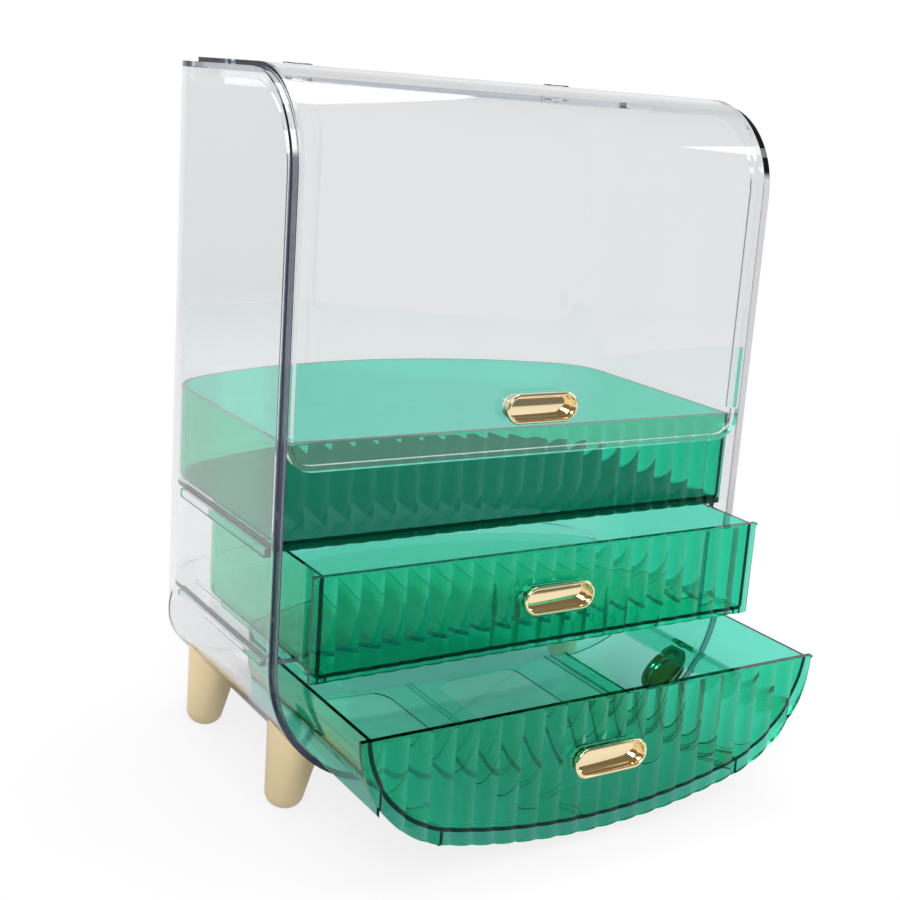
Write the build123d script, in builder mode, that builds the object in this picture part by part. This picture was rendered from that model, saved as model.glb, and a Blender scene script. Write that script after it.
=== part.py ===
from build123d import *
from math import sqrt
import os

os.makedirs("parts", exist_ok=True)

# Countertop cosmetics case: a clear bow-bottomed casing with a hinged clear lid, a fixed tray
# and two green drawers with fluted fronts. Millimetres, +Z up, the front looks along -Y, and
# the origin lies on the table midway between the four feet. The drawers stand partly open.

# ---- casing ----
CASE_HALF = 150.0
CASE_TOP = 381.0
CASE_FRONT = -76.0
CASE_BACK = 130.0
CASE_BOTTOM = 3.5
CASE_WALL = 3.0
BOTTOM_CORNER = 0.5 * CASE_HALF
BOTTOM_BOW = 385.0
BACK_CORNER = 44.0
BACK_BOW = 266.0
BROW_RADIUS = 49.0
RIM_WALL = 4.4
RIM_DEPTH = 6.0
DECK_FRONT = 59.0
DECK_THICK = 3.0
RIM_HALF = CASE_HALF - RIM_WALL

# ---- fluted fronts ----
FLUTES = 22
FLUTE_DEPTH = 1.1
PLATE_THICK = 2.2
PLATE_LAND = 1.2
PLATE_SETBACK = 6.3
PLATE_GAP = 3.3
TRAY_PLATE_GAP = 1.0
CREST_CLOSED = CASE_FRONT + PLATE_SETBACK
PLATE_BACK = CREST_CLOSED + FLUTE_DEPTH + PLATE_THICK
PLATE_HALF = RIM_HALF - PLATE_GAP
TRAY_PLATE_HALF = RIM_HALF - TRAY_PLATE_GAP

# ---- shelves and the rails that carry them ----
RAIL_GAP = 0.9
RAIL_SUNK = 1.0
RAIL_SETBACK = 14.0
RAIL_STOP = 4.0
UPPER_RAIL_HEIGHT = 4.9
LOWER_RAIL_HEIGHT = 2.8
RAIL_INNER = PLATE_HALF + RAIL_GAP
RAIL_ROOT = CASE_HALF - CASE_WALL + RAIL_SUNK
RAIL_FRONT = CASE_FRONT + RAIL_SETBACK
RAIL_BACK = DECK_FRONT - RAIL_STOP
LOWER_SHELF_Z = 86.0
UPPER_SHELF_Z = 146.4
SHELF_THICK = 2.6
SHELF_INSET = 4.8
UPPER_SHELF_SETBACK = 0.4
LOWER_SHELF_SETBACK = 0.7
UPPER_SHELF_FRONT = PLATE_BACK + UPPER_SHELF_SETBACK
LOWER_SHELF_FRONT = CREST_CLOSED + LOWER_SHELF_SETBACK
LOWER_SHELF_TOP = LOWER_SHELF_Z + SHELF_THICK
UPPER_SHELF_TOP = UPPER_SHELF_Z + SHELF_THICK

# ---- tray ----
BOX_WALL = 2.2
BOX_FILLET = 3.0
TRAY_INSET = 6.4
TRAY_DEPTH = 53.3
TRAY_PLATE_LIFT = 0.1
TRAY_TOP_Z = UPPER_SHELF_TOP + TRAY_DEPTH
TRAY_PLATE_BOTTOM = UPPER_SHELF_Z + TRAY_PLATE_LIFT

# ---- middle drawer ----
BOX_INSET = 11.4
MIDDLE_OPENING = 37.0
MIDDLE_BOX_LIFT = 2.6
MIDDLE_PLATE_LIFT = 0.8
MIDDLE_HEADROOM = 1.8
MIDDLE_BACK = PLATE_BACK - MIDDLE_OPENING
MIDDLE_BOX_BOTTOM = LOWER_SHELF_TOP + MIDDLE_BOX_LIFT
MIDDLE_PLATE_BOTTOM = LOWER_SHELF_TOP + MIDDLE_PLATE_LIFT
MIDDLE_TOP = UPPER_SHELF_Z - MIDDLE_HEADROOM
GUIDE_INSET = 3.3
GUIDE_WIDTH = 1.6
GUIDE_HEIGHT = 1.6
GUIDE_X = CASE_HALF - BOX_INSET - GUIDE_INSET
RUNNER_OFFSET = 2.0
RUNNER_WIDTH = 1.2
RUNNER_GAP = 0.3
RUNNER_BOTTOM = LOWER_SHELF_TOP + RUNNER_GAP
RUNNER_XS = (GUIDE_X - RUNNER_OFFSET, GUIDE_X + RUNNER_OFFSET)

# ---- bottom drawer ----
BOTTOM_OPENING = 93.6
BOTTOM_BACK = PLATE_BACK - BOTTOM_OPENING
BOTTOM_TOP = LOWER_SHELF_Z - LOWER_RAIL_HEIGHT
BOTTOM_PLATE_LIFT = 5.0
BOTTOM_PLATE_CORNER = BOTTOM_CORNER - 1.5 * BOTTOM_PLATE_LIFT
BOTTOM_PLATE_BOW = BOTTOM_BOW - 1.8 * BOTTOM_PLATE_LIFT
BOTTOM_PLATE_APEX = CASE_BOTTOM + BOTTOM_PLATE_LIFT
KEEL_INSETS = (20.0, 55.0)
KEEL_WIDTH = 1.6
KEEL_GAP = 0.35
FLOOR_HALF = CASE_HALF - BOX_INSET - BOX_WALL
PAD_DEPTH = 0.6
PAD_RADIUS = 0.117 * FLOOR_HALF
PAD_GAP = 4.0
PAD_EDGES = ((-0.931, -0.235), (0.022, 0.425), (0.682, 0.931))
SLOT_PLACES = (-0.0835, 0.608)
SLOT_OFFSET = 1.7
SLOT_RIB_WIDTH = 0.8
SLOT_RIB_HEIGHT = 0.8

# ---- lid ----
LID_THICK = 2.5
LID_GAP = 0.7
LID_HALF = RIM_HALF - LID_GAP
LID_TOP = CASE_TOP + LID_THICK
LID_BROW = BROW_RADIUS + LID_THICK
LID_OVERLAP = 14.1
LID_BOTTOM = TRAY_TOP_Z - LID_OVERLAP
LID_CORNER = 14.0
LID_BACK_GAP = 2.0
LID_BACK = DECK_FRONT - LID_BACK_GAP
BEAD_WIDTH = 3.0
BEAD_DEPTH = 5.0
FLANGE_DEPTH = 9.0
FLANGE_SETBACK = 25.0
FLANGE_LIFT = 3.7
FLANGE_BACK = DECK_FRONT - FLANGE_SETBACK
FLANGE_BOTTOM = TRAY_TOP_Z + FLANGE_LIFT

# ---- hinges ----
HINGE_X = 0.58 * CASE_HALF
HINGE_GAP = 1.5
HINGE_Y = DECK_FRONT - HINGE_GAP
HINGE_Z = CASE_TOP + HINGE_GAP
KNUCKLE_RADIUS = 2.4
KNUCKLE_HALF = 3.9
EAR_WIDTH = 4.0
EAR_GAP = 0.35
EAR_NOTCH = 0.6
PIN_RADIUS = 1.0
PIN_CLEARANCE = 0.05
BRACKET_LENGTH = 10.5
BRACKET_THICK = 1.5
BRACKET_HALF = KNUCKLE_HALF + EAR_GAP + EAR_WIDTH
BRACKET_FRONT = HINGE_Y + KNUCKLE_RADIUS + EAR_NOTCH
BRACKET_BACK = BRACKET_FRONT + BRACKET_LENGTH
PEG_RADIUS = 1.5
PEG_X = 5.5
PEG_Y = BRACKET_FRONT + BRACKET_LENGTH / 2
PEG_CLEARANCE = 0.05

# ---- handles ----
CUP_LENGTH = 45.6
CUP_HEIGHT = 16.6
CUP_PROUD = 6.5
LIP_WIDTH = 2.6
LIP_ROUND = 1.9
POCKET_LENGTH = CUP_LENGTH - 2 * LIP_WIDTH
POCKET_HEIGHT = CUP_HEIGHT - 2 * LIP_WIDTH
POCKET_DEPTH = 7.0
POCKET_ROUND = 0.5
CUP_FLOOR = 1.6
SPIGOT_INSET = 1.6
SPIGOT_WALL = 1.5
SPIGOT_CLEARANCE = 0.15
SPIGOT_LENGTH = CUP_LENGTH - 2 * SPIGOT_INSET
SPIGOT_HEIGHT = CUP_HEIGHT - 2 * SPIGOT_INSET
SEAT_CLEARANCE = 0.1
SNAP_LENGTH = 18.0
SNAP_REACH = 2.0
SNAP_RISE = 0.6
LID_SEAT = 0.3
LID_CUP_LIFT = 13.1
MIDDLE_CUP_LIFT = 28.8
BOTTOM_CUP_DROP = 32.7
LID_CUP_Z = TRAY_TOP_Z + LID_CUP_LIFT
MIDDLE_CUP_Z = MIDDLE_PLATE_BOTTOM + MIDDLE_CUP_LIFT
BOTTOM_CUP_Z = BOTTOM_TOP - BOTTOM_CUP_DROP

# ---- legs ----
LEG_INSET = 19.0
LEG_X = CASE_HALF - LEG_INSET
LEG_Y = -CASE_FRONT - LEG_INSET
LEG_LEAN = 0.16
LEG_TIP_RADIUS = 9.5
LEG_TAPER = 0.143
LEG_LENGTH = 0.853 * BOTTOM_CORNER
LEG_ROUND = 0.905 * LEG_TIP_RADIUS
LEG_SINK = 0.5
LEG_WALL = 2.2
LEG_BORE_START = 18.0
BOSS_HEIGHT = 3.0
BOSS_WALL = 2.0
BOSS_CLEARANCE = 0.15

REACH = 600.0


def bow_outline(plane, half_width, corner, bow, apex, open_edge):
    """Outline with straight sides, two corner arcs and one shallow arc through the apex."""
    toward = 1 if apex > open_edge else -1
    bow_centre = apex - toward * bow
    corner_x = half_width - corner
    span = bow - corner
    corner_y = bow_centre + toward * sqrt(span**2 - corner_x**2)
    lean_x = corner_x / span
    lean_y = (corner_y - bow_centre) / span
    middle = Vector(1 + lean_x, lean_y, 0).normalized()
    tangent = (corner_x + corner * lean_x, corner_y + corner * lean_y)
    shoulder = (corner_x + corner * middle.X, corner_y + corner * middle.Y)
    with BuildSketch(plane) as outline:
        with BuildLine():
            Polyline(
                (-half_width, corner_y),
                (-half_width, open_edge),
                (half_width, open_edge),
                (half_width, corner_y),
            )
            ThreePointArc((half_width, corner_y), shoulder, tangent)
            ThreePointArc(tangent, (0, apex), (-tangent[0], tangent[1]))
            ThreePointArc(
                (-tangent[0], tangent[1]), (-shoulder[0], shoulder[1]), (-half_width, corner_y)
            )
        make_face()
    return outline.sketch


def case_front(inset):
    """Casing outline seen from the front, moved inwards by the inset."""
    return bow_outline(
        Plane.XZ,
        CASE_HALF - inset,
        BOTTOM_CORNER - inset,
        BOTTOM_BOW - inset,
        CASE_BOTTOM + inset,
        REACH,
    )


def rim_front(inset):
    """Outline of the mouth inside the thickened front rim."""
    return bow_outline(
        Plane.XZ,
        CASE_HALF - RIM_WALL - inset,
        BOTTOM_CORNER - RIM_WALL - inset,
        BOTTOM_BOW - CASE_WALL - inset,
        CASE_BOTTOM + CASE_WALL + inset,
        REACH,
    )


def case_plan(inset, front, slid=0.0, z=0.0):
    """Casing outline seen from above, moved inwards and slid towards the front."""
    return bow_outline(
        Plane.XY.offset(z),
        CASE_HALF - inset,
        BACK_CORNER - inset,
        BACK_BOW - inset,
        CASE_BACK - inset - slid,
        front,
    )


def roof_outline(front, top, radius, back, bottom):
    """Side view of a body with one rounded top front edge."""
    with BuildSketch(Plane.YZ) as outline:
        with BuildLine():
            Polyline(
                (front + radius, top),
                (back, top),
                (back, bottom),
                (front, bottom),
                (front, top - radius),
            )
            CenterArc((front + radius, top - radius), radius, 90, 90)
        make_face()
    return outline.sketch


def lid_outline(inset):
    """Lid seen from the front, moved inwards by the inset, with two rounded lower corners."""
    with BuildSketch(Plane.XZ) as outline:
        with Locations((0, LID_BOTTOM + inset)):
            Rectangle(2 * (LID_HALF - inset), REACH, align=(Align.CENTER, Align.MIN))
        fillet(outline.vertices().group_by(Axis.Y)[0], LID_CORNER - inset)
    return outline.sketch


def lid_side(depth, back):
    """Lid seen from the side, taken a given depth below its outer surface."""
    return roof_outline(CASE_FRONT + depth, LID_TOP - depth, LID_BROW - depth, back, 0)


def leg_frame(side_x, side_y):
    """Plane at the foot of a leg, its normal along the leaning axis."""
    foot = (side_x * LEG_X, side_y * LEG_Y, 0)
    return Plane(origin=foot, x_dir=(1, 0, side_x * LEG_LEAN), z_dir=(-side_x * LEG_LEAN, 0, 1))


def leg_cone(side_x, side_y, start, end, offset):
    """Part of the leg's taper between two heights, its radius changed by the offset."""
    with BuildPart(leg_frame(side_x, side_y)) as taper:
        with Locations((0, 0, start)):
            Cone(
                LEG_TIP_RADIUS + LEG_TAPER * start + offset,
                LEG_TIP_RADIUS + LEG_TAPER * end + offset,
                end - start,
                align=(Align.CENTER, Align.CENTER, Align.MIN),
            )
    return taper.part


def fluted_plate(half_width, crest, bottom, top):
    """Front plate with a flat back, upright convex flutes and a plain land along the top."""
    pitch = 2 * half_width / FLUTES
    valley = crest + FLUTE_DEPTH
    back = valley + PLATE_THICK
    with BuildPart() as plate:
        with BuildSketch(Plane.XY.offset(bottom)):
            with BuildLine():
                Polyline(
                    (half_width, valley), (half_width, back), (-half_width, back), (-half_width, valley)
                )
                for i in range(FLUTES):
                    left = -half_width + i * pitch
                    ThreePointArc((left, valley), (left + pitch / 2, crest), (left + pitch, valley))
            make_face()
        extrude(amount=top - bottom)
        with BuildSketch(Plane.XY.offset(top - PLATE_LAND)):
            with Locations((0, (crest + back) / 2)):
                Rectangle(2 * half_width, back - crest)
        extrude(amount=PLATE_LAND)
    return plate.part


def cup_seat(face_y, seat_depth, height):
    """Cutter for a handle: a shallow flat seat and the spigot hole through the wall."""
    with BuildPart() as cutter:
        with BuildSketch(Plane.XZ.offset(-face_y)):
            with Locations((0, height)):
                SlotOverall(CUP_LENGTH + 2 * SEAT_CLEARANCE, CUP_HEIGHT + 2 * SEAT_CLEARANCE)
        extrude(amount=-seat_depth)
        with BuildSketch(Plane.XZ.offset(-face_y)):
            with Locations((0, height)):
                SlotOverall(
                    SPIGOT_LENGTH + 2 * SPIGOT_CLEARANCE, SPIGOT_HEIGHT + 2 * SPIGOT_CLEARANCE
                )
        extrude(amount=-(seat_depth + 2 * PLATE_THICK))
    return cutter.part


def cup_handle(face_y, seat_depth, wall, height):
    """Stadium-shaped finger cup with a spigot that snaps behind the wall it passes through."""
    seat_y = face_y + seat_depth
    front_y = face_y - CUP_PROUD
    back_y = seat_y + wall + SNAP_REACH
    with BuildPart() as cup:
        with BuildSketch(Plane.XZ.offset(-front_y)):
            with Locations((0, height)):
                SlotOverall(CUP_LENGTH, CUP_HEIGHT)
        extrude(amount=-(seat_y - front_y))
        fillet(cup.edges().group_by(Axis.Y)[0], LIP_ROUND)
        with BuildSketch(Plane.XZ.offset(-seat_y)):
            with Locations((0, height)):
                SlotOverall(SPIGOT_LENGTH, SPIGOT_HEIGHT)
        extrude(amount=-(back_y - seat_y))
        with Locations(
            (0, back_y - SNAP_REACH / 2, height + SPIGOT_HEIGHT / 2),
            (0, back_y - SNAP_REACH / 2, height - SPIGOT_HEIGHT / 2),
        ):
            Box(SNAP_LENGTH, SNAP_REACH, 2 * SNAP_RISE)
        with BuildSketch(Plane.XZ.offset(-front_y)):
            with Locations((0, height)):
                SlotOverall(POCKET_LENGTH, POCKET_HEIGHT)
        extrude(amount=-POCKET_DEPTH, mode=Mode.SUBTRACT)
        with BuildSketch(Plane.XZ.offset(-back_y)):
            with Locations((0, height)):
                SlotOverall(
                    SPIGOT_LENGTH - 2 * SPIGOT_WALL, SPIGOT_HEIGHT - 2 * SPIGOT_WALL
                )
        extrude(amount=back_y - front_y - POCKET_DEPTH - CUP_FLOOR, mode=Mode.SUBTRACT)
        near = POCKET_ROUND / 2
        pocket_edges = (
            cup.edges()
            .filter_by_position(Axis.X, -POCKET_LENGTH / 2 - near, POCKET_LENGTH / 2 + near)
            .filter_by_position(
                Axis.Z, height - POCKET_HEIGHT / 2 - near, height + POCKET_HEIGHT / 2 + near
            )
            .filter_by_position(Axis.Y, front_y - near, front_y + near)
        )
        fillet(pocket_edges, POCKET_ROUND)
    return cup.part


# ---- shell voids ----
with BuildPart() as hollow:
    extrude(case_front(CASE_WALL), amount=REACH, both=True)
    extrude(case_plan(CASE_WALL, -REACH), amount=REACH, both=True, mode=Mode.INTERSECT)
    extrude(
        roof_outline(
            CASE_FRONT + RIM_DEPTH, CASE_TOP - RIM_DEPTH, BROW_RADIUS - RIM_DEPTH, REACH, 0
        ),
        amount=REACH,
        both=True,
        mode=Mode.INTERSECT,
    )

with BuildPart() as mouth:
    extrude(rim_front(0), amount=REACH, both=True)
    extrude(case_plan(RIM_WALL, -REACH), amount=REACH, both=True, mode=Mode.INTERSECT)
    with BuildSketch(Plane.YZ):
        with Locations((DECK_FRONT, CASE_TOP - DECK_THICK)):
            Rectangle(REACH, REACH, align=(Align.MIN, Align.MIN))
    extrude(amount=REACH, both=True, mode=Mode.SUBTRACT)

bosses = []
for side_x in (-1, 1):
    for side_y in (-1, 1):
        with BuildPart() as boss:
            add(leg_cone(side_x, side_y, LEG_BORE_START, LEG_LENGTH, -LEG_WALL - BOSS_CLEARANCE))
            add(
                leg_cone(
                    side_x, side_y, 1, LEG_LENGTH + 1, -LEG_WALL - BOSS_CLEARANCE - BOSS_WALL
                ),
                mode=Mode.SUBTRACT,
            )
            extrude(case_front(-BOSS_HEIGHT), amount=REACH, both=True, mode=Mode.INTERSECT)
            extrude(case_front(CASE_WALL / 2), amount=REACH, both=True, mode=Mode.SUBTRACT)
        bosses.append(boss.part)

# ---- casing shell ----
with BuildPart() as casing_shell:
    extrude(case_front(0), amount=REACH, both=True)
    extrude(case_plan(0, CASE_FRONT), amount=REACH, both=True, mode=Mode.INTERSECT)
    extrude(
        roof_outline(CASE_FRONT, CASE_TOP, BROW_RADIUS, REACH, 0),
        amount=REACH,
        both=True,
        mode=Mode.INTERSECT,
    )
    add(hollow.part, mode=Mode.SUBTRACT)
    add(mouth.part, mode=Mode.SUBTRACT)
    for shelf_z, rail_height in (
        (UPPER_SHELF_Z, UPPER_RAIL_HEIGHT),
        (LOWER_SHELF_Z, LOWER_RAIL_HEIGHT),
    ):
        rail_centre = (RAIL_INNER + RAIL_ROOT) / 2
        with BuildSketch(Plane.XY.offset(shelf_z - rail_height)):
            with Locations(
                (-rail_centre, (RAIL_FRONT + RAIL_BACK) / 2),
                (rail_centre, (RAIL_FRONT + RAIL_BACK) / 2),
            ):
                Rectangle(RAIL_ROOT - RAIL_INNER, RAIL_BACK - RAIL_FRONT)
        extrude(amount=rail_height)
    for ring in bosses:
        add(ring)
    # relief in the deck for the hinge knuckles, and the holes for the bracket pegs
    for hinge_x in (-HINGE_X, HINGE_X):
        with BuildSketch(Plane.XY.offset(CASE_TOP - DECK_THICK)):
            with Locations((hinge_x, HINGE_Y)):
                Rectangle(2 * (BRACKET_HALF + EAR_NOTCH), 2 * (BRACKET_FRONT - HINGE_Y))
            with Locations((hinge_x - PEG_X, PEG_Y), (hinge_x + PEG_X, PEG_Y)):
                Circle(PEG_RADIUS + PEG_CLEARANCE)
        extrude(amount=DECK_THICK, mode=Mode.SUBTRACT)

# ---- shelves ----
with BuildPart() as upper_shelf:
    extrude(case_plan(SHELF_INSET, UPPER_SHELF_FRONT, z=UPPER_SHELF_Z), amount=SHELF_THICK)

with BuildPart() as lower_shelf:
    extrude(case_plan(SHELF_INSET, LOWER_SHELF_FRONT, z=LOWER_SHELF_Z), amount=SHELF_THICK)
    with BuildSketch(Plane.XY.offset(LOWER_SHELF_TOP)):
        with Locations(
            (-GUIDE_X, (RAIL_FRONT + RAIL_BACK) / 2), (GUIDE_X, (RAIL_FRONT + RAIL_BACK) / 2)
        ):
            Rectangle(GUIDE_WIDTH, RAIL_BACK - RAIL_FRONT)
    extrude(amount=GUIDE_HEIGHT)

# ---- tray ----
with BuildPart() as top_tray_box:
    extrude(case_plan(TRAY_INSET, PLATE_BACK, z=UPPER_SHELF_TOP), amount=TRAY_TOP_Z - UPPER_SHELF_TOP)
    fillet(top_tray_box.edges().group_by(Axis.Z)[0].sort_by(Axis.Y)[1:], BOX_FILLET)
    extrude(
        case_plan(TRAY_INSET + BOX_WALL, -REACH, z=UPPER_SHELF_TOP + BOX_WALL),
        amount=TRAY_TOP_Z - UPPER_SHELF_TOP,
        mode=Mode.SUBTRACT,
    )

with BuildPart() as top_tray_front:
    add(fluted_plate(TRAY_PLATE_HALF, CREST_CLOSED, TRAY_PLATE_BOTTOM, TRAY_TOP_Z))

# ---- middle drawer ----
with BuildPart() as runners:
    with BuildSketch(Plane.XY.offset(RUNNER_BOTTOM)):
        for runner_x in RUNNER_XS:
            with Locations((-runner_x, MIDDLE_BACK), (runner_x, MIDDLE_BACK)):
                Rectangle(RUNNER_WIDTH, 2 * (RAIL_BACK - RAIL_FRONT))
    extrude(amount=MIDDLE_BOX_BOTTOM + BOX_FILLET - RUNNER_BOTTOM)
    extrude(
        case_plan(BOX_INSET, MIDDLE_BACK, MIDDLE_OPENING), amount=REACH, mode=Mode.INTERSECT
    )

with BuildPart() as middle_drawer_box:
    extrude(
        case_plan(BOX_INSET, MIDDLE_BACK, MIDDLE_OPENING, MIDDLE_BOX_BOTTOM),
        amount=MIDDLE_TOP - MIDDLE_BOX_BOTTOM,
    )
    fillet(middle_drawer_box.edges().group_by(Axis.Z)[0].sort_by(Axis.Y)[1:], BOX_FILLET)
    add(runners.part)
    extrude(
        case_plan(BOX_INSET + BOX_WALL, -REACH, MIDDLE_OPENING, MIDDLE_BOX_BOTTOM + BOX_WALL),
        amount=MIDDLE_TOP - MIDDLE_BOX_BOTTOM,
        mode=Mode.SUBTRACT,
    )

with BuildPart() as middle_drawer_front:
    add(
        fluted_plate(PLATE_HALF, CREST_CLOSED - MIDDLE_OPENING, MIDDLE_PLATE_BOTTOM, MIDDLE_TOP)
    )
    add(cup_seat(CREST_CLOSED - MIDDLE_OPENING, FLUTE_DEPTH, MIDDLE_CUP_Z), mode=Mode.SUBTRACT)

# ---- bottom drawer ----
with BuildPart() as keels:
    with BuildSketch():
        for keel_inset in KEEL_INSETS:
            keel_x = CASE_HALF - keel_inset
            with Locations((-keel_x, 0), (keel_x, 0)):
                Rectangle(KEEL_WIDTH, REACH)
    extrude(amount=BOTTOM_TOP)
    extrude(rim_front(KEEL_GAP), amount=REACH, both=True, mode=Mode.INTERSECT)
    extrude(case_front(BOX_INSET + BOX_WALL / 2), amount=REACH, both=True, mode=Mode.SUBTRACT)

with BuildPart() as slot_ribs:
    with BuildSketch():
        for place in SLOT_PLACES:
            slot_x = place * FLOOR_HALF
            with Locations((slot_x - SLOT_OFFSET, 0), (slot_x + SLOT_OFFSET, 0)):
                Rectangle(SLOT_RIB_WIDTH, REACH)
    extrude(amount=BOTTOM_TOP)
    extrude(case_front(BOX_INSET + BOX_WALL / 2), amount=REACH, both=True, mode=Mode.INTERSECT)
    extrude(
        case_front(BOX_INSET + BOX_WALL + SLOT_RIB_HEIGHT),
        amount=REACH,
        both=True,
        mode=Mode.SUBTRACT,
    )

pad_end = CASE_BACK - BOX_INSET - BOX_WALL - BOTTOM_OPENING - PAD_GAP
pad_start = BOTTOM_BACK + PAD_GAP

with BuildPart() as pads:
    with BuildSketch():
        for left, right in PAD_EDGES:
            with Locations((FLOOR_HALF * (left + right) / 2, (pad_start + pad_end) / 2)):
                RectangleRounded(FLOOR_HALF * (right - left), pad_end - pad_start, PAD_RADIUS)
    extrude(amount=BOTTOM_TOP)
    extrude(
        case_front(BOX_INSET + BOX_WALL - PAD_DEPTH),
        amount=REACH,
        both=True,
        mode=Mode.INTERSECT,
    )
    extrude(
        case_plan(BOX_INSET + BOX_WALL + PAD_GAP, -REACH, BOTTOM_OPENING),
        amount=REACH,
        mode=Mode.INTERSECT,
    )

with BuildPart() as drawer_hollow:
    extrude(case_front(BOX_INSET + BOX_WALL), amount=REACH, both=True)
    extrude(
        case_plan(BOX_INSET + BOX_WALL, -REACH, BOTTOM_OPENING),
        amount=REACH,
        both=True,
        mode=Mode.INTERSECT,
    )
    add(slot_ribs.part, mode=Mode.SUBTRACT)
    add(pads.part)

with BuildPart() as bottom_drawer_box:
    extrude(case_front(BOX_INSET), amount=REACH, both=True)
    add(keels.part)
    extrude(
        case_plan(BOX_INSET, BOTTOM_BACK, BOTTOM_OPENING), amount=BOTTOM_TOP, mode=Mode.INTERSECT
    )
    add(drawer_hollow.part, mode=Mode.SUBTRACT)

with BuildPart() as bottom_drawer_front:
    add(fluted_plate(PLATE_HALF, CREST_CLOSED - BOTTOM_OPENING, 0, BOTTOM_TOP))
    extrude(
        bow_outline(
            Plane.XZ,
            PLATE_HALF,
            BOTTOM_PLATE_CORNER,
            BOTTOM_PLATE_BOW,
            BOTTOM_PLATE_APEX,
            REACH,
        ),
        amount=REACH,
        both=True,
        mode=Mode.INTERSECT,
    )
    add(cup_seat(CREST_CLOSED - BOTTOM_OPENING, FLUTE_DEPTH, BOTTOM_CUP_Z), mode=Mode.SUBTRACT)

# ---- lid ----
with BuildPart() as lid_inside:
    extrude(lid_outline(BEAD_WIDTH), amount=REACH, both=True)
    extrude(lid_side(LID_THICK, REACH), amount=REACH, both=True, mode=Mode.INTERSECT)

with BuildPart() as flange_trim:
    extrude(lid_side(BEAD_DEPTH, REACH), amount=REACH, both=True)
    with BuildSketch(Plane.YZ):
        with Locations((FLANGE_BACK, FLANGE_BOTTOM)):
            Rectangle(REACH, REACH, align=(Align.MAX, Align.MIN))
    extrude(amount=REACH, both=True, mode=Mode.SUBTRACT)

with BuildPart() as lid_cover:
    extrude(lid_outline(0), amount=REACH, both=True)
    extrude(lid_side(0, LID_BACK), amount=REACH, both=True, mode=Mode.INTERSECT)
    extrude(lid_side(FLANGE_DEPTH, REACH), amount=REACH, both=True, mode=Mode.SUBTRACT)
    add(lid_inside.part, mode=Mode.SUBTRACT)
    add(flange_trim.part, mode=Mode.SUBTRACT)
    ear_x = KNUCKLE_HALF + EAR_GAP + EAR_WIDTH / 2
    for hinge_x in (-HINGE_X, HINGE_X):
        with BuildSketch(Plane.XY.offset(LID_TOP)):
            with Locations((hinge_x - ear_x, HINGE_Y), (hinge_x + ear_x, HINGE_Y)):
                Rectangle(EAR_WIDTH + 2 * EAR_GAP, 2 * (KNUCKLE_RADIUS + EAR_NOTCH))
        extrude(amount=-FLANGE_DEPTH, mode=Mode.SUBTRACT)
        with BuildSketch(Plane.YZ.offset(hinge_x - KNUCKLE_HALF)):
            with Locations((HINGE_Y, HINGE_Z)):
                Circle(KNUCKLE_RADIUS)
        extrude(amount=2 * KNUCKLE_HALF)
    with BuildSketch(Plane.YZ):
        with Locations((HINGE_Y, HINGE_Z)):
            Circle(PIN_RADIUS + PIN_CLEARANCE)
    extrude(amount=CASE_HALF, both=True, mode=Mode.SUBTRACT)
    add(cup_seat(CASE_FRONT, LID_SEAT, LID_CUP_Z), mode=Mode.SUBTRACT)


# ---- hinge brackets and pins ----
def hinge_bracket(hinge_x):
    """Bracket on the deck: a pegged foot and two ears that hold the pin."""
    with BuildPart() as bracket:
        with BuildSketch(Plane.XY.offset(CASE_TOP)):
            with Locations((hinge_x, (BRACKET_FRONT + BRACKET_BACK) / 2)):
                Rectangle(2 * BRACKET_HALF, BRACKET_BACK - BRACKET_FRONT)
        extrude(amount=BRACKET_THICK)
        with BuildSketch(Plane.XY.offset(CASE_TOP)):
            with Locations((hinge_x - PEG_X, PEG_Y), (hinge_x + PEG_X, PEG_Y)):
                Circle(PEG_RADIUS)
        extrude(amount=-DECK_THICK)
        for ear_side in (hinge_x - BRACKET_HALF, hinge_x + BRACKET_HALF - EAR_WIDTH):
            with BuildSketch(Plane.YZ.offset(ear_side)):
                with BuildLine():
                    Polyline(
                        (HINGE_Y, HINGE_Z + KNUCKLE_RADIUS),
                        (BRACKET_FRONT + EAR_WIDTH, CASE_TOP + BRACKET_THICK),
                        (BRACKET_FRONT + EAR_WIDTH, CASE_TOP),
                        (HINGE_Y, CASE_TOP),
                        close=True,
                    )
                make_face()
                with Locations((HINGE_Y, HINGE_Z)):
                    Circle(KNUCKLE_RADIUS)
                    Circle(PIN_RADIUS, mode=Mode.SUBTRACT)
            extrude(amount=EAR_WIDTH)
    return bracket.part


def hinge_pin(hinge_x):
    """Plain pin through both ears and the lid knuckle."""
    with BuildPart() as pin:
        with BuildSketch(Plane.YZ.offset(hinge_x - BRACKET_HALF)):
            with Locations((HINGE_Y, HINGE_Z)):
                Circle(PIN_RADIUS)
        extrude(amount=2 * BRACKET_HALF)
    return pin.part


def leg(side_x, side_y):
    """Hollow tapered foot, leaning inwards and cut to the underside of the casing."""
    with BuildPart() as foot:
        add(leg_cone(side_x, side_y, -LEG_SINK, LEG_LENGTH, 0))
        fillet(foot.edges().sort_by(Axis.Z)[0], LEG_ROUND)
        add(
            leg_cone(side_x, side_y, LEG_BORE_START, LEG_LENGTH + LEG_SINK, -LEG_WALL),
            mode=Mode.SUBTRACT,
        )
        extrude(case_front(0), amount=REACH, both=True, mode=Mode.SUBTRACT)
        split(bisect_by=Plane.XY, keep=Keep.TOP)
    return foot.part


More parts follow.
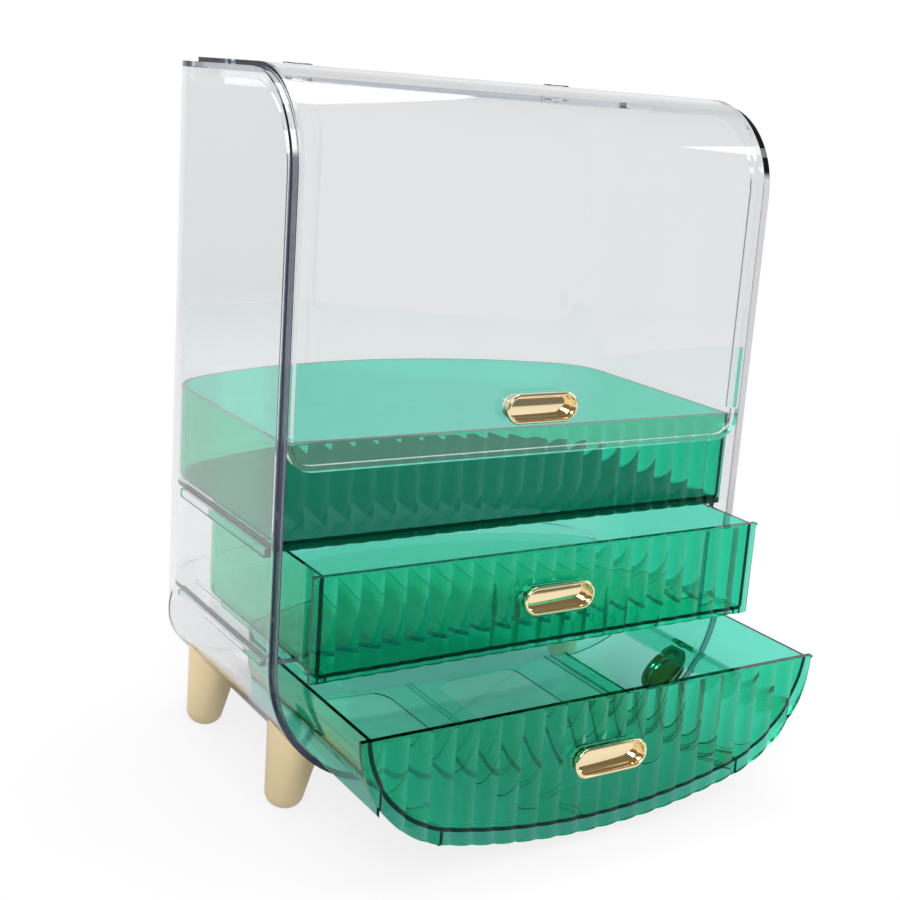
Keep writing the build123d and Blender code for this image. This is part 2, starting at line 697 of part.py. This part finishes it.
pieces = {
    "casing_shell": casing_shell.part,
    "upper_shelf": upper_shelf.part,
    "lower_shelf": lower_shelf.part,
    "top_tray_box": top_tray_box.part,
    "top_tray_front": top_tray_front.part,
    "lid_cover": lid_cover.part,
    "lid_handle": cup_handle(CASE_FRONT, LID_SEAT, LID_THICK - LID_SEAT, LID_CUP_Z),
    "hinge_bracket_left": hinge_bracket(-HINGE_X),
    "hinge_bracket_right": hinge_bracket(HINGE_X),
    "hinge_pin_left": hinge_pin(-HINGE_X),
    "hinge_pin_right": hinge_pin(HINGE_X),
    "middle_drawer_box": middle_drawer_box.part,
    "middle_drawer_front": middle_drawer_front.part,
    "middle_drawer_handle": cup_handle(
        CREST_CLOSED - MIDDLE_OPENING, FLUTE_DEPTH, PLATE_THICK, MIDDLE_CUP_Z
    ),
    "bottom_drawer_box": bottom_drawer_box.part,
    "bottom_drawer_front": bottom_drawer_front.part,
    "bottom_drawer_handle": cup_handle(
        CREST_CLOSED - BOTTOM_OPENING, FLUTE_DEPTH, PLATE_THICK, BOTTOM_CUP_Z
    ),
    "leg_front_left": leg(-1, -1),
    "leg_front_right": leg(1, -1),
    "leg_back_left": leg(-1, 1),
    "leg_back_right": leg(1, 1),
}

for name, piece in pieces.items():
    piece.label = name
    export_step(piece, f"parts/{name}.step")
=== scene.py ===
import math

import bmesh
import bpy
from mathutils import Matrix, Vector


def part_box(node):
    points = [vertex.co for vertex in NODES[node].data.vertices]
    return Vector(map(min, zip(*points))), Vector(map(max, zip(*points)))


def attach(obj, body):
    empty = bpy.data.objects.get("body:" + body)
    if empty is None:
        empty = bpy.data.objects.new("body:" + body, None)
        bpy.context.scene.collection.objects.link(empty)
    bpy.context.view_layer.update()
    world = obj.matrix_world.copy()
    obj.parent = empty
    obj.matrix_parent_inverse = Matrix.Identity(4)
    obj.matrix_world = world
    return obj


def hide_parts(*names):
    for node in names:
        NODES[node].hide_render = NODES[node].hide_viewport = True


bl_info = {
    "name": "Cosmetics Case",
    "version": (1, 0, 0),
    "blender": (4, 5, 0),
    "location": "View3D > Sidebar > Cosmetics Case",
    "description": "Finishes a clear cosmetics case with fluted green drawers and gold fittings",
    "category": "Object",
}

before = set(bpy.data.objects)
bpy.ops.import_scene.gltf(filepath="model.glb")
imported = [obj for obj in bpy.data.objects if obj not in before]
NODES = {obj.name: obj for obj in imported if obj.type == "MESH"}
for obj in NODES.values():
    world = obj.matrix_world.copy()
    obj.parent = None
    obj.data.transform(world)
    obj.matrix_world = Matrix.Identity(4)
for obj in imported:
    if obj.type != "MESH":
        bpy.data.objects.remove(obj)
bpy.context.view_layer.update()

CASING_NODES = ("casing_shell",)
CLEAR_NODES = (
    "upper_shelf",
    "lower_shelf",
    "lid_cover",
    "hinge_bracket_left",
    "hinge_bracket_right",
    "hinge_pin_left",
    "hinge_pin_right",
)
GREEN_NODES = (
    "top_tray_box",
    "top_tray_front",
    "middle_drawer_box",
    "middle_drawer_front",
    "bottom_drawer_box",
    "bottom_drawer_front",
)
CUP_NODES = {
    "lid_handle": "lid",
    "middle_drawer_handle": "middle_drawer",
    "bottom_drawer_handle": "bottom_drawer",
}
LEG_NODES = ("leg_front_left", "leg_front_right", "leg_back_left", "leg_back_right")

# Direction of the white backdrop from the case, and how far a direction may turn from it: the
# cosines at which the backdrop has ended and at which it is full.
BACKDROP_AIM = (0.563, 0.826, 0.0)
BACKDROP_END = 0.45
BACKDROP_FULL = 0.72

# Heights, as sines, between which the backdrop's top fades out.
BACKDROP_TOP = 0.62
BACKDROP_HEAD = 0.4

# Strengths: what the camera sees as white, the dim studio in a gloss, and the light all round.
CAMERA_WHITE = 1.02
STUDIO_DIM = 0.2
ROOM_LIGHT = 0.55
WHITE = (1.0, 1.0, 1.0, 1.0)

# The lamps: place, size and power.
LAMPS = {
    "key": ((-0.9, -1.5, 1.5), (0.9, 0.9), 16.0),
    "side": ((1.5, -0.7, 0.9), (0.5, 1.2), 7.0),
    "top": ((0.1, 0.3, 1.7), (1.2, 0.8), 12.0),
}
LAMP_AIM = (0.0, 0.0, 0.18)

# The casing's cut front edge, where painted shade and painted light stand in for its refraction:
# where along the case it starts and is full, and where across the case its painted-shade left
# side turns into its painted-light right one.
EDGE_START = -0.0742
EDGE_FULL = -0.0752
EDGE_PAINTED_SHADE_END = -0.11
EDGE_PAINTED_LIGHT_START = -0.09

# Times that light may turn inside the plastic before it is given up.
LIGHT_STEPS = 48

MM = 0.001

# Sections of a finger cup, from the back of its pocket over the lip to the pocket's floor:
# radius of its round ends and depth behind the lip, in millimetres.
CUP_SECTIONS = (
    (6.3, 7.2),
    (6.6, 6.9),
    (6.6, 1.9),
    (8.1, 1.9),
    (8.28, 1.6),
    (8.28, 0.9),
    (8.05, 0.4),
    (7.6, 0.1),
    (7.15, 0.02),
    (6.7, 0.12),
    (6.35, 0.5),
    (6.2, 1.0),
    (6.1, 3.8),
    (5.95, 4.3),
    (5.6, 4.6),
    (5.2, 4.6),
    (5.0, 4.45),
    (4.8, 4.35),
)
CUP_STRAIGHT = 14.5
CUP_STEPS = 62
CUP_SMOOTH = math.radians(32)


# ---- shader maths ----


class Signal:
    """An output of a node. Number outputs take part in sums."""

    def __init__(self, recipe, socket):
        self.recipe = recipe
        self.socket = socket

    def _sum(self, operation, first, second):
        return self.recipe.node("ShaderNodeMath", {"operation": operation}, {0: first, 1: second})

    def __add__(self, other):
        return self._sum("ADD", self, other)

    __radd__ = __add__

    def __rsub__(self, other):
        return self._sum("SUBTRACT", other, self)

    def __mul__(self, other):
        return self._sum("MULTIPLY", self, other)

    __rmul__ = __mul__

    def __pow__(self, other):
        return self._sum("POWER", self, other)

    def __gt__(self, other):
        return self._sum("GREATER_THAN", self, other)

    def __or__(self, other):
        return self._sum("MAXIMUM", self, other)


class Recipe:
    """The node tree of one finish, with one way to add a node."""

    def __init__(self, tree):
        self.tree = tree
        tree.nodes.clear()

    def node(self, kind, settings=None, inputs=None, output=0):
        made = self.tree.nodes.new(kind)
        for name, value in (settings or {}).items():
            setattr(made, name, value)
        for name, value in (inputs or {}).items():
            if isinstance(value, Signal):
                self.tree.links.new(value.socket, made.inputs[name])
            else:
                made.inputs[name].default_value = value
        return Signal(self, made.outputs[output])

    def blend(self, amount, low, high):
        """Colour between low and high."""
        return self.node(
            "ShaderNodeMix",
            {"data_type": "RGBA"},
            {"Factor": amount, "A": (*low, 1.0), "B": (*high, 1.0)},
            output="Result",
        )

    def noise(self, where, scale, detail):
        return self.node(
            "ShaderNodeTexNoise", None, {"Vector": where, "Scale": scale, "Detail": detail}
        )

    def stretched(self, where, scale):
        """The coordinates scaled by a different number along each axis."""
        return self.node("ShaderNodeMapping", None, {"Vector": where, "Scale": scale})

    def part(self, where, axis):
        """One of the three numbers of a vector."""
        return self.node("ShaderNodeSeparateXYZ", None, {"Vector": where}, axis)

    def along(self, where, aim):
        """How far a vector reaches in one direction."""
        return self.node(
            "ShaderNodeVectorMath", {"operation": "DOT_PRODUCT"}, {0: where, 1: aim}, "Value"
        )

    def fade(self, value, none, full):
        """0 at none and 1 at full, and steady outside them."""
        return self.node(
            "ShaderNodeMapRange", None, {"Value": value, "From Min": none, "From Max": full}
        )

    def diffuse(self, colour):
        return self.node("ShaderNodeBsdfDiffuse", None, {"Color": colour})

    def glow(self, strength):
        return self.node("ShaderNodeEmission", None, {"Color": WHITE, "Strength": strength})

    def sky(self, strength):
        return self.node("ShaderNodeBackground", None, {"Color": WHITE, "Strength": strength})

    def both(self, first, second):
        return self.node("ShaderNodeAddShader", None, {0: first, 1: second})

    def mixed(self, share, none, full):
        return self.node("ShaderNodeMixShader", None, {0: share, 1: none, 2: full})

    def rays(self):
        """Whether a ray comes from the camera, through plastic, or off or through a gloss."""
        return [
            self.node("ShaderNodeLightPath", output=kind)
            for kind in ("Is Camera Ray", "Is Transmission Ray", "Is Glossy Ray")
        ]

    def finish(self, surface, volume=None):
        out = self.tree.nodes.new("ShaderNodeOutputMaterial")
        self.tree.links.new(surface.socket, out.inputs["Surface"])
        if volume is not None:
            self.tree.links.new(volume.socket, out.inputs["Volume"])


def new_finish(name):
    material = bpy.data.materials.new(name)
    material.use_nodes = True
    return material, Recipe(material.node_tree)


def moulded_plastic(name, tint, density, gloss, rim=False):
    """Transparent moulded plastic whose colour comes from its depth, with faint flow marks.
    With rim, the cut front edge gets matt painted shade on the left and matt painted light on the
    right, in place of the dark and pale refraction there."""
    material, recipe = new_finish(name)
    where = recipe.node("ShaderNodeTexCoord", output="Object")
    flow = recipe.noise(recipe.stretched(where, (9.0, 9.0, 3.0)), 2.2, 2.0)
    dust = recipe.noise(where, 900.0, 1.0)
    waves = recipe.node(
        "ShaderNodeBump",
        None,
        {"Strength": 0.05, "Distance": 0.0006, "Height": flow},
        output="Normal",
    )
    skin = recipe.node(
        "ShaderNodeBsdfPrincipled",
        None,
        {
            "Base Color": recipe.blend(flow, (0.97, 0.98, 0.98), (1.0, 1.0, 1.0)),
            "Roughness": flow * 0.012 + (dust > 0.72) * 0.02,
            "IOR": settings().plastic_ior,
            "Transmission Weight": 1.0,
            "Specular Tint": (*gloss, 1.0),
            "Normal": waves,
        },
    )
    if rim:
        # Painted shade on the left of the casing's cut edge and painted light on its right: one
        # dark and one pale matt colour, fixed to these sides.
        painted_shade_band = recipe.diffuse((0.055, 0.06, 0.1, 1.0))
        pale = recipe.diffuse((0.8, 0.8, 0.82, 1.0))
        right = recipe.fade(recipe.part(where, "X"), EDGE_PAINTED_SHADE_END, EDGE_PAINTED_LIGHT_START)
        edge = recipe.fade(recipe.part(where, "Y"), EDGE_START, EDGE_FULL)
        painted_rim_shading = recipe.mixed(right, painted_shade_band, pale)
        skin = recipe.mixed(edge * (0.7 + flow * 0.2), skin, painted_rim_shading)
    depth = recipe.node(
        "ShaderNodeVolumeAbsorption", None, {"Color": (*tint, 1.0), "Density": density}
    )
    recipe.finish(skin, depth)
    return material


def plated_gold(name, light, deep, shine, grain, ripple):
    """Gold plating over a moulded part: a colour between light and deep, and a fine grain."""
    material, recipe = new_finish(name)
    where = recipe.node("ShaderNodeTexCoord", output="Object")
    patch = recipe.noise(where, 55.0, 3.0)
    specks = recipe.noise(where, grain, 2.0)
    marks = recipe.noise(recipe.stretched(where, (1.0, 1.0, 14.0)), 160.0, 2.0)
    relief = recipe.node(
        "ShaderNodeBump",
        None,
        {"Strength": ripple, "Distance": 0.0002, "Height": specks * 0.7 + patch * 0.3},
        output="Normal",
    )
    skin = recipe.node(
        "ShaderNodeBsdfPrincipled",
        None,
        {
            "Base Color": recipe.blend(patch, deep, light),
            "Metallic": 1.0,
            "Roughness": shine + marks * 0.05 + patch * 0.04,
            "Normal": relief,
        },
    )
    recipe.finish(skin)
    return material


# ---- placing and dressing ----


def settings():
    return bpy.context.scene.cosmetics_case


def dress(names, material):
    """Gives CAD nodes a finish in place of their plain one."""
    for name in names:
        for slot in NODES[name].material_slots:
            slot.material = material


class CaseFinish(bpy.types.PropertyGroup):
    """Colours and depths of the case's finishes."""

    clear_tint: bpy.props.FloatVectorProperty(
        name="Clear tint",
        description="Colour that the clear plastic keeps in its depth",
        default=(0.44, 0.5, 0.6),
        size=3,
        min=0.0,
        max=1.0,
        subtype="COLOR",
    )
    clear_density: bpy.props.FloatProperty(
        name="Clear density",
        description="How fast the clear plastic darkens with depth, per metre",
        default=16.0,
        min=0.0,
    )
    green_tint: bpy.props.FloatVectorProperty(
        name="Green tint",
        description="Colour that the green plastic keeps in its depth",
        default=(0.32, 0.918, 0.818),
        size=3,
        min=0.0,
        max=1.0,
        subtype="COLOR",
    )
    green_density: bpy.props.FloatProperty(
        name="Green density",
        description="How fast the green plastic darkens with depth, per metre",
        default=1000.0,
        min=0.0,
    )
    plastic_ior: bpy.props.FloatProperty(
        name="Plastic IOR",
        description="Refractive index of the moulded plastic",
        default=1.5,
        min=1.0,
        max=2.0,
    )
    gold_light: bpy.props.FloatVectorProperty(
        name="Gold",
        description="Colour of the polished plating",
        default=(0.97, 0.80, 0.50),
        size=3,
        min=0.0,
        max=1.0,
        subtype="COLOR",
    )
    satin_light: bpy.props.FloatVectorProperty(
        name="Satin gold",
        description="Colour of the legs",
        default=(0.93, 0.76, 0.47),
        size=3,
        min=0.0,
        max=1.0,
        subtype="COLOR",
    )


class CaseStage(bpy.types.PropertyGroup):
    """Camera, lamps and backdrop."""

    lens: bpy.props.FloatProperty(
        name="Lens",
        description="Focal length on a 36 mm sensor, in millimetres",
        default=58.5,
        min=1.0,
    )
    eye: bpy.props.FloatVectorProperty(
        name="Eye",
        description="Where the camera stands",
        default=(-0.4399, -0.7091, 0.3784),
        size=3,
        subtype="TRANSLATION",
        unit="LENGTH",
    )
    yaw: bpy.props.FloatProperty(
        name="Yaw",
        description="Turn of the view to the right of straight ahead",
        default=math.radians(34.289),
        subtype="ANGLE",
        unit="ROTATION",
    )
    pitch: bpy.props.FloatProperty(
        name="Pitch",
        description="Tilt of the view below level",
        default=math.radians(13.211),
        subtype="ANGLE",
        unit="ROTATION",
    )
    roll: bpy.props.FloatProperty(
        name="Roll",
        description="Turn of the camera about its own axis",
        default=math.radians(4.640),
        subtype="ANGLE",
        unit="ROTATION",
    )
    floor_half: bpy.props.FloatProperty(
        name="Floor",
        description="Half the side of the floor",
        default=30.0,
        min=1.0,
        subtype="DISTANCE",
        unit="LENGTH",
    )
    floor_glow: bpy.props.FloatProperty(
        name="Floor glow",
        description="Share of the floor's white that the shadow leaves alone",
        default=0.84,
        min=0.0,
        max=1.0,
        subtype="FACTOR",
    )
    seen_through: bpy.props.FloatProperty(
        name="Seen through",
        description="Brightness of the surroundings where they are seen through plastic",
        default=0.86,
        min=0.0,
        max=1.0,
        subtype="FACTOR",
    )


class CASE_OT_stage(bpy.types.Operator):
    """Camera, lamps, white backdrop and pale floor"""

    bl_idname = "cosmetics_case.stage"
    bl_label = "Stage"

    def execute(self, context):
        values = context.scene.cosmetics_stage
        self.camera(values)
        self.backdrop(context.scene, values)
        self.floor(values)
        for name, (place, size, power) in LAMPS.items():
            self.lamp(name, Vector(place), size, power)
        cycles = context.scene.cycles
        cycles.max_bounces = LIGHT_STEPS
        cycles.transmission_bounces = LIGHT_STEPS
        cycles.glossy_bounces = LIGHT_STEPS
        cycles.caustics_reflective = False
        cycles.caustics_refractive = False
        context.scene.view_settings.view_transform = "Standard"
        return {"FINISHED"}

    def camera(self, values):
        forward = Vector(
            (
                math.sin(values.yaw) * math.cos(values.pitch),
                math.cos(values.yaw) * math.cos(values.pitch),
                -math.sin(values.pitch),
            )
        )
        level = forward.cross(Vector((0, 0, 1))).normalized()
        above = level.cross(forward)
        right = level * math.cos(values.roll) + above * math.sin(values.roll)
        up = above * math.cos(values.roll) - level * math.sin(values.roll)
        data = bpy.data.cameras.new("camera")
        data.lens = values.lens
        data.sensor_width = 36.0
        data.shift_x = -0.0802
        data.shift_y = -0.0141
        data.clip_end = 200.0
        camera = bpy.data.objects.new("camera", data)
        bpy.context.collection.objects.link(camera)
        turn = Matrix((right, up, -forward)).transposed().to_4x4()
        camera.matrix_world = Matrix.Translation(values.eye) @ turn
        bpy.context.scene.camera = camera

    def backdrop(self, scene, values):
        """White all round for the camera and for what the plastic lets through. Gloss shows the
        white backdrop behind the case, and a dimmer studio to the front and overhead."""
        world = bpy.data.worlds.new("backdrop")
        world.use_nodes = True
        scene.world = world
        recipe = Recipe(world.node_tree)
        ray, through, glossy = recipe.rays()
        aim = recipe.node("ShaderNodeTexCoord", output="Generated")
        behind = recipe.fade(recipe.along(aim, BACKDROP_AIM), BACKDROP_END, BACKDROP_FULL)
        low = recipe.fade(recipe.part(aim, "Z"), BACKDROP_TOP, BACKDROP_HEAD)
        shade = STUDIO_DIM + behind * low * (1.0 - STUDIO_DIM)
        mirrored = glossy * (1.0 - through)
        clean = (ray * CAMERA_WHITE) | (through * values.seen_through) | (mirrored * shade)
        seen = (ray | through) | glossy
        mixed = recipe.mixed(seen, recipe.sky(ROOM_LIGHT), recipe.sky(clean))
        out = recipe.tree.nodes.new("ShaderNodeOutputWorld")
        recipe.tree.links.new(mixed.socket, out.inputs["Surface"])

    def floor(self, values):
        """White paper that keeps the shadow for the camera. Seen through plastic or in a gloss it
        is shaded near the case and evenly bright farther away."""
        bpy.ops.object.select_all(action="DESELECT")
        bpy.ops.mesh.primitive_plane_add(size=2 * values.floor_half)
        floor = bpy.context.object
        floor.name = "floor"
        material, recipe = new_finish("white_floor")
        ray, through, glossy = recipe.rays()
        where = recipe.node("ShaderNodeTexCoord", output="Object")
        reach = recipe.node("ShaderNodeVectorMath", {"operation": "LENGTH"}, {0: where}, "Value")
        turn = recipe.along(where, BACKDROP_AIM) * reach**-1.0
        wedge = recipe.fade(turn, BACKDROP_END, BACKDROP_FULL)
        table = recipe.fade(reach, 2.0, 1.3)
        grain = recipe.noise(where, 700.0, 2.0)
        paper = recipe.diffuse(recipe.blend(grain, (0.172, 0.172, 0.172), (0.18, 0.18, 0.18)))
        lit = recipe.both(paper, recipe.glow(values.floor_glow))
        plain = recipe.mixed(recipe.fade(reach, 0.4, 1.1), lit, recipe.glow(CAMERA_WHITE))
        mirrored = glossy * (1.0 - through) * (STUDIO_DIM + (wedge | table) * 0.75)
        far = recipe.glow((through * values.seen_through) | mirrored)
        near = recipe.both(recipe.diffuse((0.6, 0.6, 0.6, 1.0)), recipe.glow(0.3))
        under = recipe.mixed(recipe.fade(reach, 0.35, 0.9), near, far)
        shown = recipe.mixed(through | glossy, recipe.diffuse((0.8, 0.8, 0.8, 1.0)), under)
        recipe.finish(recipe.mixed(ray, shown, plain))
        floor.data.materials.append(material)

    def lamp(self, name, place, size, power):
        data = bpy.data.lights.new(name, "AREA")
        data.shape = "RECTANGLE"
        data.size, data.size_y = size
        data.energy = power
        lamp = bpy.data.objects.new(name, data)
        bpy.context.collection.objects.link(lamp)
        turn = (Vector(LAMP_AIM) - place).to_track_quat("-Z", "Y")
        lamp.matrix_world = Matrix.Translation(place) @ turn.to_matrix().to_4x4()


class CASE_OT_cups(bpy.types.Operator):
    """Finger cups with a rounded lip and a shallow pocket"""

    bl_idname = "cosmetics_case.cups"
    bl_label = "Finger cups"

    def execute(self, context):
        cup = self.model()
        for name, body in CUP_NODES.items():
            low, high = (Vector(corner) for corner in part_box(name))
            piece = bpy.data.objects.new(name + "_cup", cup.data.copy())
            bpy.context.collection.objects.link(piece)
            bpy.ops.object.select_all(action="DESELECT")
            piece.select_set(True)
            bpy.context.view_layer.objects.active = piece
            piece.location = ((low.x + high.x) / 2, low.y, (low.z + high.z) / 2)
            bpy.ops.object.transform_apply(location=True, rotation=False, scale=False)
            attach(piece, body)
            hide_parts(name)
        bpy.data.objects.remove(cup)
        return {"FINISHED"}

    def model(self):
        """A round cup drawn up section by section, then parted into a long one."""
        bpy.ops.object.select_all(action="DESELECT")
        radius, depth = CUP_SECTIONS[0]
        bpy.ops.mesh.primitive_circle_add(
            vertices=CUP_STEPS, radius=radius * MM, fill_type="NGON"
        )
        cup = bpy.context.object
        bpy.ops.object.mode_set(mode="EDIT")
        bpy.ops.mesh.select_all(action="SELECT")
        bpy.ops.transform.translate(value=(0, 0, -depth * MM))
        for next_radius, next_depth in CUP_SECTIONS[1:]:
            bpy.ops.mesh.extrude_region_move(
                TRANSFORM_OT_translate={"value": (0, 0, (depth - next_depth) * MM)}
            )
            ratio = next_radius / radius
            bpy.ops.transform.resize(value=(ratio, ratio, 1.0))
            radius, depth = next_radius, next_depth
        mesh = bmesh.from_edit_mesh(cup.data)
        for side in (-1, 1):
            bpy.ops.mesh.select_all(action="DESELECT")
            for vertex in mesh.verts:
                vertex.select_set(vertex.co.x * side > 0)
            mesh.select_flush_mode()
            bmesh.update_edit_mesh(cup.data)
            bpy.ops.transform.translate(value=(side * CUP_STRAIGHT * MM, 0, 0))
            mesh = bmesh.from_edit_mesh(cup.data)
        bpy.ops.mesh.select_all(action="SELECT")
        bpy.ops.mesh.normals_make_consistent(inside=False)
        bpy.ops.object.mode_set(mode="OBJECT")
        cup.rotation_euler.x = math.pi / 2
        bpy.ops.object.transform_apply(location=True, rotation=True, scale=True)
        bpy.ops.object.shade_smooth_by_angle(angle=CUP_SMOOTH)
        return cup


class CASE_OT_clear_parts(bpy.types.Operator):
    """Clear plastic on the casing, shelves, lid and hinge brackets"""

    bl_idname = "cosmetics_case.clear_parts"
    bl_label = "Clear parts"

    def execute(self, context):
        values = settings()
        tint, density = values.clear_tint, values.clear_density
        clear = moulded_plastic("clear_plastic_moulded", tint, density, (1.0, 1.0, 1.0))
        dress(CLEAR_NODES, clear)
        # The casing's cut front edge gets painted shade on its left and painted light on its
        # right.
        casing = moulded_plastic(
            "clear_casing_moulded", tint, density, (1.0, 1.0, 1.0), rim=True
        )
        dress(CASING_NODES, casing)
        return {"FINISHED"}


class CASE_OT_green_parts(bpy.types.Operator):
    """Green plastic on the tray, both drawers and their fluted fronts"""

    bl_idname = "cosmetics_case.green_parts"
    bl_label = "Green parts"

    def execute(self, context):
        values = settings()
        green = moulded_plastic(
            "green_plastic_moulded",
            values.green_tint,
            values.green_density,
            (0.2, 0.85, 0.7),
        )
        dress(GREEN_NODES, green)
        return {"FINISHED"}


class CASE_OT_gold_parts(bpy.types.Operator):
    """Gold plating on the cups and legs"""

    bl_idname = "cosmetics_case.gold_parts"
    bl_label = "Gold parts"

    def execute(self, context):
        values = settings()
        light = Vector(values.gold_light)
        bright = plated_gold("bright_gold_plating", light, light * 0.93, 0.04, 900.0, 0.04)
        satin = Vector(values.satin_light)
        brushed = plated_gold("satin_gold_plating", satin, satin * 0.92, 0.16, 1400.0, 0.12)
        for cup in CUP_NODES:
            bpy.data.objects[cup + "_cup"].data.materials.append(bright)
        dress(LEG_NODES, brushed)
        return {"FINISHED"}


class CASE_PT_panel(bpy.types.Panel):
    """Lists the case's steps and values"""

    bl_idname = "CASE_PT_panel"
    bl_label = "Cosmetics Case"
    bl_space_type = "VIEW_3D"
    bl_region_type = "UI"
    bl_category = "Cosmetics Case"

    def draw(self, context):
        for step in STEPS:
            self.layout.operator(step.bl_idname)
        scene = context.scene
        for group in (scene.cosmetics_case, scene.cosmetics_stage):
            for name in group.bl_rna.properties.keys():
                if name not in ("rna_type", "name"):
                    self.layout.prop(group, name)


STEPS = (
    CASE_OT_stage,
    CASE_OT_cups,
    CASE_OT_clear_parts,
    CASE_OT_green_parts,
    CASE_OT_gold_parts,
)
GROUPS = (CaseFinish, CaseStage)


def register():
    for item in GROUPS + STEPS + (CASE_PT_panel,):
        bpy.utils.register_class(item)
    bpy.types.Scene.cosmetics_case = bpy.props.PointerProperty(type=CaseFinish)
    bpy.types.Scene.cosmetics_stage = bpy.props.PointerProperty(type=CaseStage)


def unregister():
    del bpy.types.Scene.cosmetics_stage
    del bpy.types.Scene.cosmetics_case
    for item in reversed(GROUPS + STEPS + (CASE_PT_panel,)):
        bpy.utils.unregister_class(item)


def main():
    register()
    for step in STEPS:
        group, name = step.bl_idname.split(".")
        getattr(getattr(bpy.ops, group), name)()


if __name__ == "__main__":
    main()
